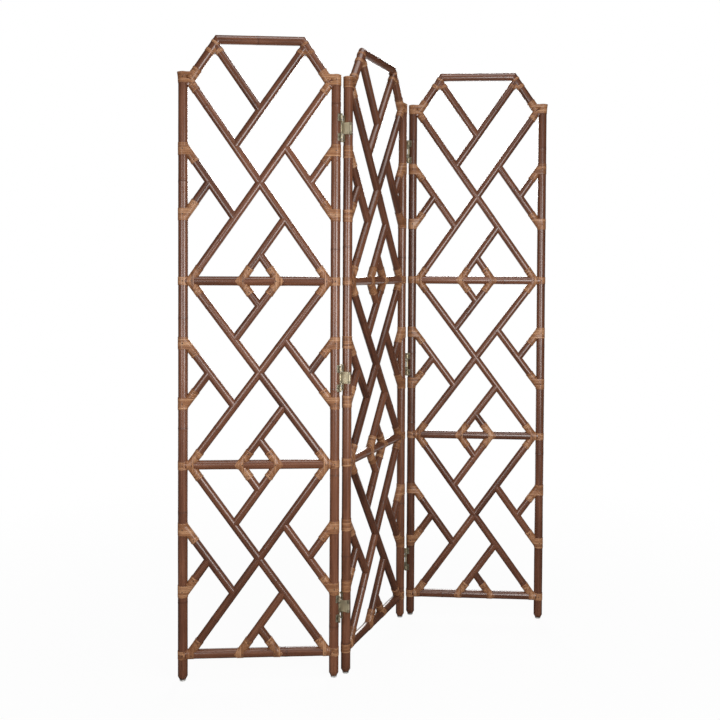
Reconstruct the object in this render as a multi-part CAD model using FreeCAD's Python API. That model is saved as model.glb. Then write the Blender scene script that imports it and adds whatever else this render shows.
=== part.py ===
import FreeCAD, Part
import math
import os

from FreeCAD import Placement, Rotation, Vector

# Folding room divider of rattan poles: three equal panels in a zigzag, joined by double action hinges.
# Millimetres, +Z up. A panel is drawn with X along its width, Y towards its back and Z up from the floor.

# Pole diameters
post_diameter = 27.0
rail_diameter = 26.0
crest_diameter = 25.0
shoulder_diameter = 25.0
fret_diameter = 23.0

# Panel layout: heights of pole axes above the floor, and distances along the panel
post_spacing = 423.0
post_height = 1697.0
crest_rail_height = 1787.5
upper_rail_height = 1120.0
lower_rail_height = 606.0
bottom_rail_height = 74.0
top_bay_centre_height = 1395.0
crest_rail_length = 233.0
diagonal_inset = 19.5
shoulder_inset = 17.0
centre_joint_offset = 52.5

# Ends of the posts and the glides under them
post_foot_rounding = 5.0
post_top_chamfer = 1.0
glide_diameter = 18.0
glide_thickness = 4.0
glide_rounding = 1.5
glide_shank_diameter = 2.4
glide_shank_length = 16.0

# Joints between poles
joint_gap = 0.05
nail_diameter = 2.0
nail_length = 55.0
corner_nail_length = 36.0
nail_set_depth = 8.0
nail_side_step = 4.0
corner_nail_rise = 6.0

# Bindings of rattan peel, measured along the pole from the joint that they cover
binding_thickness = 0.8
post_band_height = 34.0
post_band_inset = 9.0
brace_collar_reach = 62.0
rail_band_height = 22.0
rail_end_wrap_reach = 32.0
diagonal_collar_reach = 52.0
centre_wrap_width = 24.0
centre_collar_reach = 48.0
top_band_height = 30.0
shoulder_collar_reach = 37.0
top_collar_reach = 32.0
crest_ring_width = 10.0
crest_ring_start = 8.0
lower_ring_start = 37.0
brace_ring_start = 17.0

# Tacks that hold the ends of the bindings
tack_head_diameter = 3.2
tack_head_thickness = 0.35
tack_shank_diameter = 1.2
tack_shank_length = 6.0
centre_tack_shift = 7.0
rail_end_tack_reach = 25.0
collar_tack_step = 9.0

# Double action hinges
outer_segment_height = 20.5
middle_segment_height = 33.0
segment_gap = 0.5
upper_hinge_lift = 10.0
middle_hinge_drop = 15.0
lower_hinge_drop = 0.5
right_junction_drop = 8.0
hinge_clearance = 0.5
leaf_thickness = 1.2
leaf_arc = 52.0
lug_thickness = 2.0
barrel_diameter = 5.8
pin_diameter = 3.0
pin_clearance = 0.05
knuckle_clearance = 0.15
barrel_clearance = 0.5
link_thickness = 1.2
screw_head_diameter = 5.4
screw_shank_diameter = 3.0
screw_length = 11.0
screw_spacing = 19.0
screw_turn = 14.0

# Rest pose: heading of the middle panel and how far the side panels are folded from flat
middle_heading = 65.25
left_fold = 62.25
right_fold = 69.25

# Values worked out from the sizes above
post_radius = post_diameter / 2.0
rail_radius = rail_diameter / 2.0
fret_radius = fret_diameter / 2.0
half_width = post_spacing / 2.0
crest_corner = crest_rail_length / 2.0
rail_joint = half_width - diagonal_inset
hinge_offset = post_radius + binding_thickness + hinge_clearance
pin_reach = math.hypot(hinge_offset, hinge_offset)
hinge_height = middle_segment_height + 2.0 * (outer_segment_height + segment_gap)


def at(x, z, y=0.0):
    return Vector(x, y, z)


def bar(start, end, radius):
    axis = end - start
    return Part.makeCylinder(radius, axis.Length, start, axis)


def largest(shape):
    return max(shape.Solids, key=lambda solid: solid.Volume)


def cut_away(shape, tools):
    return largest(shape.cut(tools)) if tools else shape


# A straight round pole in the panel's plane, named by its lower and upper axis points
class Pole:
    def __init__(self, low, high, diameter):
        self.low = low
        self.high = high
        self.radius = diameter / 2.0
        self.direction = (high - low).normalize()
        self.length = (high - low).Length

    def along(self, distance):
        return self.low + self.direction * distance

    def solid(self, growth=0.0, reach=0.0):
        return bar(self.along(-reach), self.along(self.length + reach), self.radius + growth)

    def low_sleeve(self, near, far):
        return bar(self.along(near), self.along(far), self.radius + binding_thickness)

    def high_sleeve(self, near, far):
        return self.low_sleeve(self.length - far, self.length - near)


# Cope a pole over the poles that it butts against
def coped(pole, hosts):
    return cut_away(pole.solid(), [host.solid(joint_gap, host.radius) for host in hosts])


# A straight fastener from its head to its point, and the hole that it sits in
class Fastener:
    def __init__(self, head, point, diameter):
        self.head = head
        self.point = point
        self.radius = diameter / 2.0
        self.line = Part.makeLine(head, point)
        self.hole = bar(head, point, self.radius + joint_gap)

    def shank(self):
        return bar(self.head, self.point, self.radius)

    def reaches(self, pole):
        axis = Part.makeLine(pole.low, pole.high)
        return self.line.distToShape(axis)[0] < pole.radius + self.radius


# A nail along a line in the panel's plane, set below the surface of the pole that it starts in
def joint_nail(start, direction, side, length):
    step = Vector(0, side * nail_side_step, 0)
    head = start - direction * nail_set_depth + step
    return Fastener(head, head + direction * length, nail_diameter)


# Nails at both ends of a coped pole, a little to the back at its foot and to the front at its head
def end_nails(pole):
    foot = joint_nail(pole.low, pole.direction, 1, nail_length)
    head = joint_nail(pole.high, pole.direction * -1, -1, nail_length)
    return [foot, head]


# A binding is one sleeve over all the poles of a joint, with the poles taken out of it
def binding(sleeves, poles, cut_poles=()):
    body = sleeves[0]
    if len(sleeves) > 1:
        body = body.fuse(sleeves[1:])
    return cut_away(body, [pole.solid(joint_gap) for pole in poles] + list(cut_poles))


def post_band(post, height, band_height):
    middle = at(post.low.x, height)
    half = Vector(0, 0, band_height / 2.0)
    return bar(middle - half, middle + half, post.radius + binding_thickness)


# A tack driven from the front, with its head on a binding round a pole of the given radius
def binding_tack(x, z, pole_radius):
    seat = at(x, z, -(pole_radius + binding_thickness))
    return Fastener(seat, seat + Vector(0, tack_shank_length, 0), tack_shank_diameter)


def tack_solid(tack):
    head = bar(tack.head, tack.head - Vector(0, tack_head_thickness, 0), tack_head_diameter / 2.0)
    return head.fuse(tack.shank())


# A tack near the far end of a collar, on the front of its pole
def collar_tack(pole, from_low, reach):
    distance = reach - collar_tack_step
    seat = pole.along(distance if from_low else pole.length - distance)
    return binding_tack(seat.x, seat.z, pole.radius)


# One bay of fretwork between two rails, with point symmetry about its centre
class Bay:
    def __init__(self, lower, upper, falling_is_long):
        self.lower = lower
        self.upper = upper
        self.centre = (lower + upper) / 2.0
        self.slope = (upper - lower) / (2.0 * rail_joint)
        self.falling_is_long = falling_is_long
        offset = centre_joint_offset
        self.low_post_joint = upper - self.slope * (half_width + offset)
        self.high_post_joint = lower + self.slope * (half_width + offset)
        self.arm_x = (rail_joint - offset) / 2.0
        self.arm_rise = self.slope * (rail_joint + offset) / 2.0

    def turned(self, point):
        return at(-point.x, 2.0 * self.centre - point.z)


def sloped(first, second):
    low, high = (first, second) if first.z < second.z else (second, first)
    return Pole(low, high, fret_diameter)


# Where two axes in the panel's plane cross
def crossing(first, second):
    gap = second.low - first.low
    turn = first.direction.x * second.direction.z - first.direction.z * second.direction.x
    return first.along((gap.x * second.direction.z - gap.z * second.direction.x) / turn)


# Posts, rails and crest of one panel
left_post = Pole(at(-half_width, glide_thickness), at(-half_width, post_height), post_diameter)
right_post = Pole(at(half_width, glide_thickness), at(half_width, post_height), post_diameter)
posts = [left_post, right_post]
rail_heights = [upper_rail_height, lower_rail_height, bottom_rail_height]
rails = {z: Pole(at(-half_width, z), at(half_width, z), rail_diameter) for z in rail_heights}
crest = Pole(at(-crest_corner, crest_rail_height), at(crest_corner, crest_rail_height), crest_diameter)

# Shoulders and top diagonals part on a level cut beside the post top
def level_space(height, upward):
    size = post_spacing * 2.0
    low = height - joint_gap / 2.0 if upward else height - size + joint_gap / 2.0
    return Part.makeBox(size, size, size, Vector(-size / 2.0, -size / 2.0, low))


# The bays from the bottom up: the diagonal that runs through changes from bay to bay
bottom_bay = Bay(bottom_rail_height, lower_rail_height, True)
middle_bay = Bay(lower_rail_height, upper_rail_height, False)
top_bay = Bay(upper_rail_height, 2.0 * top_bay_centre_height - upper_rail_height, True)
bays = [bottom_bay, middle_bay, top_bay]

# The crest shoulders start beside the post tops, where the top bay's diagonals end
shoulder_foot_x = half_width - shoulder_inset
shoulder_foot_z = top_bay_centre_height + top_bay.slope * shoulder_foot_x
shoulders = [
    Pole(at(side * shoulder_foot_x, shoulder_foot_z), at(side * crest_corner, crest_rail_height), shoulder_diameter)
    for side in (-1, 1)
]


# All poles of a bay, with the poles that they are coped to
def bay_poles(bay):
    foot_x = shoulder_foot_x if bay is top_bay else rail_joint
    foot_z = shoulder_foot_z if bay is top_bay else bay.upper
    centre = at(0, bay.centre)
    falling_foot, rising_foot = at(rail_joint, bay.lower), at(-rail_joint, bay.lower)
    falling_head, rising_head = at(-foot_x, foot_z), at(foot_x, foot_z)
    if bay.falling_is_long:
        long_diagonal = sloped(falling_foot, falling_head)
        halves = [sloped(rising_foot, centre), sloped(centre, rising_head)]
        rising_low, rising_up = halves
        falling_low = falling_up = long_diagonal
    else:
        long_diagonal = sloped(rising_foot, rising_head)
        halves = [sloped(falling_foot, centre), sloped(centre, falling_head)]
        falling_low, falling_up = halves
        rising_low = rising_up = long_diagonal

    left_arm = at(-bay.arm_x, bay.lower + bay.arm_rise)
    left_long = sloped(at(-half_width, bay.high_post_joint), left_arm)
    right_long = sloped(bay.turned(left_long.high), bay.turned(left_long.low))
    left_short = sloped(at(centre_joint_offset - rail_joint, bay.centre), at(-half_width, bay.low_post_joint))
    right_short = sloped(bay.turned(left_short.low), bay.turned(left_short.high))

    bottom_long = sloped(at(-centre_joint_offset, bay.lower), at(bay.arm_x, bay.lower + bay.arm_rise))
    bottom_tip = at(0, bay.lower + bay.slope * centre_joint_offset)
    bottom_short = sloped(at(centre_joint_offset, bay.lower), bottom_tip)
    top_long = sloped(bay.turned(bottom_long.high), bay.turned(bottom_long.low))
    top_short = sloped(bay.turned(bottom_short.high), bay.turned(bottom_short.low))
    if bay is top_bay:
        top_long = sloped(top_long.low, crossing(top_long, shoulders[1]))
        top_short = sloped(top_short.low, crossing(top_short, shoulders[0]))
        top_long_hosts = [falling_up, shoulders[1], crest]
        top_short_hosts = [top_long, shoulders[0], crest]
        head_hosts = posts
    else:
        upper_rail = rails[bay.upper]
        top_long_hosts = [falling_up, upper_rail]
        top_short_hosts = [top_long, upper_rail]
        head_hosts = posts + [upper_rail]
    lower_rail = rails[bay.lower]
    foot_hosts = posts + [lower_rail]
    return {
        "long_diagonals": [(long_diagonal, head_hosts + foot_hosts)],
        "half_diagonals": [(halves[0], foot_hosts + [long_diagonal]), (halves[1], head_hosts + [long_diagonal])],
        "long_braces": [
            (left_long, [left_post, rising_low]),
            (right_long, [right_post, rising_up]),
            (bottom_long, [lower_rail, falling_low]),
            (top_long, top_long_hosts),
        ],
        "short_braces": [
            (left_short, [left_post, left_long]),
            (right_short, [right_post, right_long]),
            (bottom_short, [lower_rail, bottom_long]),
            (top_short, top_short_hosts),
        ],
    }


fretwork = [bay_poles(bay) for bay in bays]


def bay_pole(bay, kind, number):
    return fretwork[bays.index(bay)][kind][number][0]


# The two diagonals that meet a rail, or the crest, on one side of the panel
def diagonal_at(bay, side, at_foot):
    poles = [pole for kind in ("long_diagonals", "half_diagonals") for pole, _ in fretwork[bays.index(bay)][kind]]
    ends = [(pole, pole.low if at_foot else pole.high) for pole in poles]
    outer = [(pole, end) for pole, end in ends if abs(end.x) > centre_joint_offset and end.x * side > 0]
    return outer[0][0]


# Nails of the whole panel
nails = []
for work in fretwork:
    for kind, entries in work.items():
        for pole, _ in entries:
            foot, head = end_nails(pole)
            nails.append(foot)
            if pole.high.z < shoulder_foot_z or kind.endswith("braces"):
                nails.append(head)
for rail in rails.values():
    nails.append(joint_nail(rail.low, rail.direction, 0, nail_length))
    nails.append(joint_nail(rail.high, rail.direction * -1, 0, nail_length))
for end, inward in ((crest.low, crest.direction), (crest.high, crest.direction * -1)):
    nails.append(joint_nail(end, inward, 0, nail_length))
for side in (-1, 1):
    inward = Vector(-side, 0, 0)
    for step in (-1, 1):
        start = at(side * half_width, shoulder_foot_z + step * corner_nail_rise)
        nails.append(joint_nail(start, inward, step, corner_nail_length))


# Bindings and their tacks, joint by joint
post_bindings = []
rail_bindings = []
crest_bindings = []
tacks = []
for bay in bays:
    braces = [
        (left_post, bay_pole(bay, "long_braces", 0), bay.high_post_joint, -1),
        (left_post, bay_pole(bay, "short_braces", 0), bay.low_post_joint, 1),
        (right_post, bay_pole(bay, "long_braces", 1), 2.0 * bay.centre - bay.high_post_joint, 1),
        (right_post, bay_pole(bay, "short_braces", 1), 2.0 * bay.centre - bay.low_post_joint, -1),
    ]
    for post, brace, joint_height, step in braces:
        band_height = joint_height + step * bay.slope * post_band_inset
        from_low = abs(brace.low.x) > abs(brace.high.x)
        sleeve = brace.low_sleeve if from_low else brace.high_sleeve
        band = post_band(post, band_height, post_band_height)
        post_bindings.append(binding([band, sleeve(0.0, brace_collar_reach)], [post, brace]))
        tacks.append(binding_tack(post.low.x, band_height, post_radius))
        tacks.append(collar_tack(brace, from_low, brace_collar_reach))

for z, rail in rails.items():
    above = next(bay for bay in bays if bay.lower == z)
    below = next((bay for bay in bays if bay.upper == z), None)
    for side in (-1, 1):
        post = left_post if side < 0 else right_post
        rail_sleeve = rail.low_sleeve if side < 0 else rail.high_sleeve
        sleeves = [post_band(post, z, rail_band_height), rail_sleeve(0.0, rail_end_wrap_reach)]
        poles = [post, rail, diagonal_at(above, side, True)]
        sleeves.append(poles[2].low_sleeve(0.0, diagonal_collar_reach))
        tacks.append(collar_tack(poles[2], True, diagonal_collar_reach))
        if below:
            poles.append(diagonal_at(below, side, False))
            sleeves.append(poles[3].high_sleeve(0.0, diagonal_collar_reach))
            tacks.append(collar_tack(poles[3], False, diagonal_collar_reach))
        rail_bindings.append(binding(sleeves, poles))
        tacks.append(binding_tack(post.low.x, z, post_radius))
        tacks.append(binding_tack(side * (half_width - rail_end_tack_reach), z, rail_radius))

        centre_reach = half_width + side * centre_joint_offset
        half_wrap = centre_wrap_width / 2.0
        sleeves = [rail.low_sleeve(centre_reach - half_wrap, centre_reach + half_wrap)]
        kind = "long_braces" if side < 0 else "short_braces"
        poles = [rail, bay_pole(above, kind, 2)]
        sleeves.append(poles[1].low_sleeve(0.0, centre_collar_reach))
        tacks.append(collar_tack(poles[1], True, centre_collar_reach))
        if below:
            kind = "short_braces" if side < 0 else "long_braces"
            poles.append(bay_pole(below, kind, 3))
            sleeves.append(poles[2].high_sleeve(0.0, centre_collar_reach))
            tacks.append(collar_tack(poles[2], False, centre_collar_reach))
        rail_bindings.append(binding(sleeves, poles))
        tacks.append(binding_tack(side * (centre_joint_offset - centre_tack_shift), z, rail_radius))

for side, shoulder in zip((-1, 1), shoulders):
    post = left_post if side < 0 else right_post
    diagonal = diagonal_at(top_bay, side, False)
    brace = bay_pole(top_bay, "short_braces" if side < 0 else "long_braces", 3)
    band_height = post_height - top_band_height / 2.0
    sleeves = [
        post_band(post, band_height, top_band_height),
        shoulder.low_sleeve(0.0, shoulder_collar_reach),
        diagonal.high_sleeve(0.0, top_collar_reach),
    ]
    shoulder_end = shoulder.solid(joint_gap, shoulder_diameter).cut(level_space(shoulder_foot_z, False))
    diagonal_end = diagonal.solid(joint_gap, shoulder_diameter).cut(level_space(shoulder_foot_z, True))
    crest_bindings.append(binding(sleeves, [post], [shoulder_end, diagonal_end]))
    tacks.append(binding_tack(post.low.x, band_height, post_radius))
    for start in (crest_ring_start, lower_ring_start):
        ring = shoulder.high_sleeve(start, start + crest_ring_width)
        crest_bindings.append(binding([ring], [shoulder, brace, crest]))
    ring = brace.high_sleeve(brace_ring_start, brace_ring_start + crest_ring_width)
    crest_bindings.append(binding([ring], [brace, shoulder, crest]))


# Double action hinges: outer segments above and below a middle one
class Segment:
    def __init__(self, centre, height, is_outer):
        self.centre = centre
        self.height = height
        self.is_outer = is_outer
        self.low = centre - height / 2.0
        spread = screw_spacing / 2.0
        self.screw_heights = [centre] if is_outer else [centre - spread, centre + spread]

    def raised(self, height):
        return Segment(self.centre + height, self.height, self.is_outer)


upper_band_top = top_bay.high_post_joint - top_bay.slope * post_band_inset + post_band_height / 2.0
lower_band_foot = bottom_bay.low_post_joint + bottom_bay.slope * post_band_inset - post_band_height / 2.0
hinge_heights = [
    upper_band_top + upper_hinge_lift + hinge_height / 2.0,
    middle_bay.centre - middle_hinge_drop,
    lower_band_foot - lower_hinge_drop - hinge_height / 2.0,
]
outer_step = (middle_segment_height + outer_segment_height) / 2.0 + segment_gap
middle_segment = Segment(0.0, middle_segment_height, False)
outer_segment = Segment(0.0, outer_segment_height, True)


# The segments of a junction's three hinges, which may sit lower than the usual heights
def junction_segments(drop):
    segments = []
    for height in hinge_heights:
        centre = height - drop
        segments.append(middle_segment.raised(centre))
        segments.append(outer_segment.raised(centre + outer_step))
        segments.append(outer_segment.raised(centre - outer_step))
    return segments


# Heights of the leaf's two knuckles, at the ends of a segment, and of the link's knuckle between them
def leaf_knuckles(segment):
    tall = segment.height / 4.0 - knuckle_clearance
    return [(segment.low, tall), (segment.low + segment.height - tall, tall)]


def upright(radius, x, y, low, tall):
    return Part.makeCylinder(radius, tall, Vector(x, y, low))


def block(low_x, high_x, low_y, high_y, low, tall):
    return Part.makeBox(high_x - low_x, high_y - low_y, tall, Vector(low_x, low_y, low))


# A leaf is a curved plate on the post with two lugs that carry the knuckles, drawn with its pin along +X
def hinge_leaf(segment):
    inner = post_radius + joint_gap
    outer = inner + leaf_thickness
    plate = Part.makeCylinder(outer, segment.height, Vector(0, 0, segment.low), Vector(0, 0, 1), leaf_arc)
    plate.rotate(Vector(0, 0, 0), Vector(0, 0, 1), -leaf_arc / 2.0)
    half_lug = lug_thickness / 2.0
    additions = []
    for low, tall in leaf_knuckles(segment):
        additions.append(block(inner, pin_reach, -half_lug, half_lug, low, tall))
        additions.append(upright(barrel_diameter / 2.0, pin_reach, 0, low, tall))
    leaf = plate.fuse(additions)
    post_space = upright(inner, 0, 0, segment.low, segment.height)
    pin_hole = upright(pin_diameter / 2.0 + pin_clearance, pin_reach, 0, segment.low, segment.height)
    return largest(leaf.cut([post_space, pin_hole]).removeSplitter())


def hinge_pin(segment):
    return upright(pin_diameter / 2.0, pin_reach, 0, segment.low, segment.height)


# A countersunk wood screw through the leaf into the post, pointing at the post's axis
def hinge_screw(height, turn, growth=0.0):
    face = post_radius + joint_gap + leaf_thickness
    head_depth = (screw_head_diameter - screw_shank_diameter) / 2.0
    head_radius = screw_head_diameter / 2.0 + growth
    shank_radius = screw_shank_diameter / 2.0 + growth
    top = Vector(face, 0, height)
    inward = Vector(-1, 0, 0)
    head = Part.makeCone(head_radius, shank_radius, head_depth, top, inward)
    shank = Part.makeCylinder(shank_radius, screw_length, top, inward)
    screw = head.fuse(shank).removeSplitter()
    screw.rotate(Vector(0, 0, 0), Vector(0, 0, 1), turn)
    return screw


# A link is a flat plate between the front and back pins, drawn on the plane half way between two posts
def hinge_link(segment):
    half_plate = link_thickness / 2.0
    plate_end = hinge_offset - barrel_diameter / 2.0 - barrel_clearance
    knuckle_low = segment.low + segment.height / 4.0
    knuckle_tall = segment.height / 2.0
    plate = block(-half_plate, half_plate, -plate_end, plate_end, segment.low, segment.height)
    additions = [block(-half_plate, half_plate, -hinge_offset, hinge_offset, knuckle_low, knuckle_tall)]
    holes = []
    for y in (-hinge_offset, hinge_offset):
        additions.append(upright(barrel_diameter / 2.0, 0, y, knuckle_low, knuckle_tall))
        holes.append(upright(pin_diameter / 2.0 + pin_clearance, 0, y, knuckle_low, knuckle_tall))
    return largest(plate.fuse(additions).cut(holes).removeSplitter())


# The leaf and link patterns, by outer or middle segment; a leaf's screws are turned away from the gap
def drilled_leaf(segment, turn):
    return cut_away(hinge_leaf(segment), [hinge_screw(z, turn, joint_gap) for z in segment.screw_heights])


link_patterns = {segment.is_outer: hinge_link(segment) for segment in (outer_segment, middle_segment)}
leaf_patterns = {
    (segment.is_outer, turn): drilled_leaf(segment, turn)
    for segment in (outer_segment, middle_segment)
    for turn in (-screw_turn, screw_turn)
}


# Hinge pieces on one edge of a panel: side is -1 for its left post, and outer_face is the side of the
# panel, -1 for the front, that carries the outer segments
def edge_hinges(side, outer_face, links_are_outer, drop):
    pieces = {"hinge_leaves": [], "hinge_pins": [], "hinge_screws": [], "hinge_links": []}
    holes = []
    post_axis = Vector(side * half_width, 0, 0)
    for segment in junction_segments(drop):
        face = outer_face if segment.is_outer else -outer_face
        turn = math.degrees(math.atan2(face, side))
        screw_side = side * face * screw_turn
        screws = [hinge_screw(height, screw_side) for height in segment.screw_heights]
        clearance_holes = [hinge_screw(height, screw_side, joint_gap) for height in segment.screw_heights]
        leaf = leaf_patterns[segment.is_outer, screw_side].copy()
        leaf.translate(Vector(0, 0, segment.centre))
        pin = hinge_pin(segment)
        for shape in [leaf, pin] + screws + clearance_holes:
            shape.rotate(Vector(0, 0, 0), Vector(0, 0, 1), turn)
            shape.translate(post_axis)
        pieces["hinge_leaves"].append(leaf)
        pieces["hinge_pins"].append(pin)
        pieces["hinge_screws"].extend(screws)
        holes.extend(clearance_holes)
        if segment.is_outer == links_are_outer:
            link = link_patterns[segment.is_outer].copy()
            link.translate(Vector(side * (half_width + hinge_offset), 0, segment.centre))
            pieces["hinge_links"].append(link)
    return pieces, holes


# Drill a pole for those nails and tacks that reach into it, and a binding for its tacks
def drilled(shape, pole):
    return cut_away(shape, [fastener.hole for fastener in nails + tacks if fastener.reaches(pole)])


def tacked(shape):
    near = [tack.hole for tack in tacks if tack.hole.BoundBox.intersect(shape.BoundBox)]
    return cut_away(shape, near)


def post_solid(post):
    body = post.solid()
    foot_edges = [edge for edge in body.Edges if edge.BoundBox.ZMax < bottom_rail_height]
    body = body.makeFillet(post_foot_rounding, foot_edges)
    top_edges = [edge for edge in body.Edges if edge.BoundBox.ZMin > post_height - joint_gap]
    body = body.makeChamfer(post_top_chamfer, top_edges)
    shank_radius = glide_shank_diameter / 2.0 + joint_gap
    glide_hole = upright(shank_radius, post.low.x, 0, 0, glide_thickness + glide_shank_length)
    return drilled(body.cut(glide_hole), post)


def foot_glide(post):
    disc = upright(glide_diameter / 2.0, post.low.x, 0, 0, glide_thickness)
    rim = [edge for edge in disc.Edges if edge.BoundBox.ZMax < joint_gap]
    disc = disc.makeFillet(glide_rounding, rim)
    shank = upright(glide_shank_diameter / 2.0, post.low.x, 0, 0, glide_thickness + glide_shank_length)
    return disc.fuse(shank).removeSplitter()


# The mitre between the crest rail and a shoulder halves the angle between them
def mitre_space(side, keep_crest):
    corner = at(side * crest_corner, crest_rail_height)
    shoulder = shoulders[0] if side < 0 else shoulders[1]
    out_of_crest = Vector(side, 0, 0)
    normal = (out_of_crest - shoulder.direction).normalize()
    if not keep_crest:
        normal = normal * -1
    size = 4.0 * crest_diameter
    space = Part.makeBox(size, size, size, Vector(-size / 2.0, -size / 2.0, -joint_gap / 2.0))
    space.Placement = Placement(corner, Rotation(Vector(0, 0, 1), normal))
    return space


def shoulder_solid(side, shoulder):
    post = left_post if side < 0 else right_post
    tools = [mitre_space(side, False), level_space(shoulder_foot_z, False), post.solid(joint_gap, post.radius)]
    return drilled(cut_away(shoulder.solid(0.0, shoulder_diameter), tools), shoulder)


def crest_solid():
    tools = [mitre_space(side, True) for side in (-1, 1)]
    return drilled(cut_away(crest.solid(0.0, crest_diameter), tools), crest)


def fret_solid(pole, hosts):
    body = coped(pole, hosts)
    if abs(pole.high.z - shoulder_foot_z) < joint_gap:
        longer = Pole(pole.low, pole.along(pole.length + fret_diameter), fret_diameter)
        body = cut_away(coped(longer, hosts), [level_space(shoulder_foot_z, True)])
    return drilled(body, pole)


# Pieces that are the same on every panel
panel_pieces = {
    "crest_rail": [crest_solid()],
    "crest_shoulders": [shoulder_solid(side, pole) for side, pole in zip((-1, 1), shoulders)],
    "cross_rails": [drilled(coped(rail, posts), rail) for rail in rails.values()],
    "post_bindings": [tacked(shape) for shape in post_bindings],
    "rail_bindings": [tacked(shape) for shape in rail_bindings],
    "crest_bindings": [tacked(shape) for shape in crest_bindings],
    "joint_nails": [nail.shank() for nail in nails],
    "binding_tacks": [tack_solid(tack) for tack in tacks],
    "foot_glides": [foot_glide(post) for post in posts],
}
for kind in ("long_diagonals", "half_diagonals", "long_braces", "short_braces"):
    entries = [entry for work in fretwork for entry in work[kind]]
    panel_pieces[kind] = [fret_solid(pole, hosts) for pole, hosts in entries]

# Hinge edges of each panel: side, face of the outer segments, whether it carries the outer links, and
# how far its hinges are lowered
panel_edges = {
    "left_panel": [(1, -1, True, 0.0)],
    "middle_panel": [(-1, 1, False, 0.0), (1, 1, True, right_junction_drop)],
    "right_panel": [(-1, -1, False, right_junction_drop)],
}

# Rest pose: the left junction turns on its back pins and the right junction on its front pins
edge_reach = half_width + hinge_offset
middle_place = Placement(Vector(0, 0, 0), Rotation(Vector(0, 0, 1), middle_heading))


def folded(parent, parent_pin, child_pin, fold):
    turn = Placement(Vector(0, 0, 0), Rotation(Vector(0, 0, 1), -fold))
    return parent * Placement(parent_pin, Rotation()) * turn * Placement(child_pin * -1, Rotation())


left_pin = Vector(-edge_reach, hinge_offset, 0)
right_pin = Vector(edge_reach, -hinge_offset, 0)
places = {
    "left_panel": folded(middle_place, left_pin, Vector(edge_reach, hinge_offset, 0), left_fold),
    "middle_panel": middle_place,
    "right_panel": folded(middle_place, right_pin, Vector(-edge_reach, -hinge_offset, 0), right_fold),
}

plain_posts = {-1: post_solid(left_post), 1: post_solid(right_post)}
nodes = {}
for panel, edges in panel_edges.items():
    pieces = dict(panel_pieces)
    post_solids = dict(plain_posts)
    for side, outer_face, links_are_outer, drop in edges:
        hinge_pieces, screw_holes = edge_hinges(side, outer_face, links_are_outer, drop)
        post_solids[side] = cut_away(post_solids[side], screw_holes)
        for name, shapes in hinge_pieces.items():
            pieces[name] = pieces.get(name, []) + shapes
    pieces["left_post"] = [post_solids[-1]]
    pieces["right_post"] = [post_solids[1]]
    for name, shapes in pieces.items():
        placed = []
        for shape in shapes:
            copy = shape.copy()
            copy.Placement = places[panel] * copy.Placement
            placed.append(copy)
        nodes[panel + "_" + name] = placed

# The origin is on the floor under the middle of the whole divider's box
outer_shapes = [shape for name, shapes in nodes.items() if "post" in name for shape in shapes]
outline = Part.Compound(outer_shapes).optimalBoundingBox(False, False)
shift = Vector(-outline.Center.x, -outline.Center.y, 0)
os.makedirs("parts", exist_ok=True)
for name, shapes in nodes.items():
    for shape in shapes:
        shape.translate(shift)
    body = shapes[0] if len(shapes) == 1 else Part.Compound(shapes)
    body.exportStep("parts/" + name + ".step")
    print(name, len(shapes), "solids", round(body.Volume), "mm3")

# Places that others line up with: the hinge axes and the middle of each foot
for name, pin in (("left hinge axis", left_pin), ("right hinge axis", right_pin)):
    point = middle_place.multVec(pin) + shift
    print(name, round(point.x, 4), round(point.y, 4))
for panel, place in places.items():
    for post in posts:
        foot = place.multVec(Vector(post.low.x, 0, 0)) + shift
        print(panel, "foot", round(foot.x, 4), round(foot.y, 4))
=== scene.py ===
import math
import random

import bpy
import numpy as np
from mathutils import Matrix, Vector


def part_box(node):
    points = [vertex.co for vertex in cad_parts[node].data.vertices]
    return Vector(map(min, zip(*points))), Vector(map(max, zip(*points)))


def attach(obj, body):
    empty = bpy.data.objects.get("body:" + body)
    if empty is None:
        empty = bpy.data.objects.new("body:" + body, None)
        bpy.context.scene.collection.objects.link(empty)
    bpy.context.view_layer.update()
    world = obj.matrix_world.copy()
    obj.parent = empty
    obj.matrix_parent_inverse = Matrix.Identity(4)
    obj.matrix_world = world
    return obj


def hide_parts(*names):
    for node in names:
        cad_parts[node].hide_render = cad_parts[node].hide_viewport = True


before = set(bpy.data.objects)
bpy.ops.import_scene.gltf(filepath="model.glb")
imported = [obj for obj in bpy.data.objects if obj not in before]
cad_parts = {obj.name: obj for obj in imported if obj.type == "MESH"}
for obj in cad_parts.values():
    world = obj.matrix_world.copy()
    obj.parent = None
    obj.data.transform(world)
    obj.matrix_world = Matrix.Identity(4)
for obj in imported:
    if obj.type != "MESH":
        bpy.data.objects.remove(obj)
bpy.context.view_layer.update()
random.seed(17)
mm = 0.001
panels = ("left_panel", "middle_panel", "right_panel")
freeSides = {"left_panel": -1, "right_panel": 1}  # the panel edges without hinges

# Axis lines of one panel in millimetres, as the solids have them: x along the panel, z up from the floor
panelSize = {
    "halfWidth": 211.5,
    "footHeight": 4.0,
    "postHeight": 1697.0,
    "crestHeight": 1787.5,
    "crestCorner": 116.5,
    "upperRail": 1120.0,
    "lowerRail": 606.0,
    "bottomRail": 74.0,
    "topBayCentre": 1395.0,
    "railJoint": 192.0,  # where a diagonal meets a rail's axis
    "shoulderFoot": 194.5,
    "centreJoint": 52.5,  # where a brace meets a rail's axis
}
poleRadius = {"post": 13.5, "rail": 13.0, "crest": 12.5, "fret": 11.5}


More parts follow.
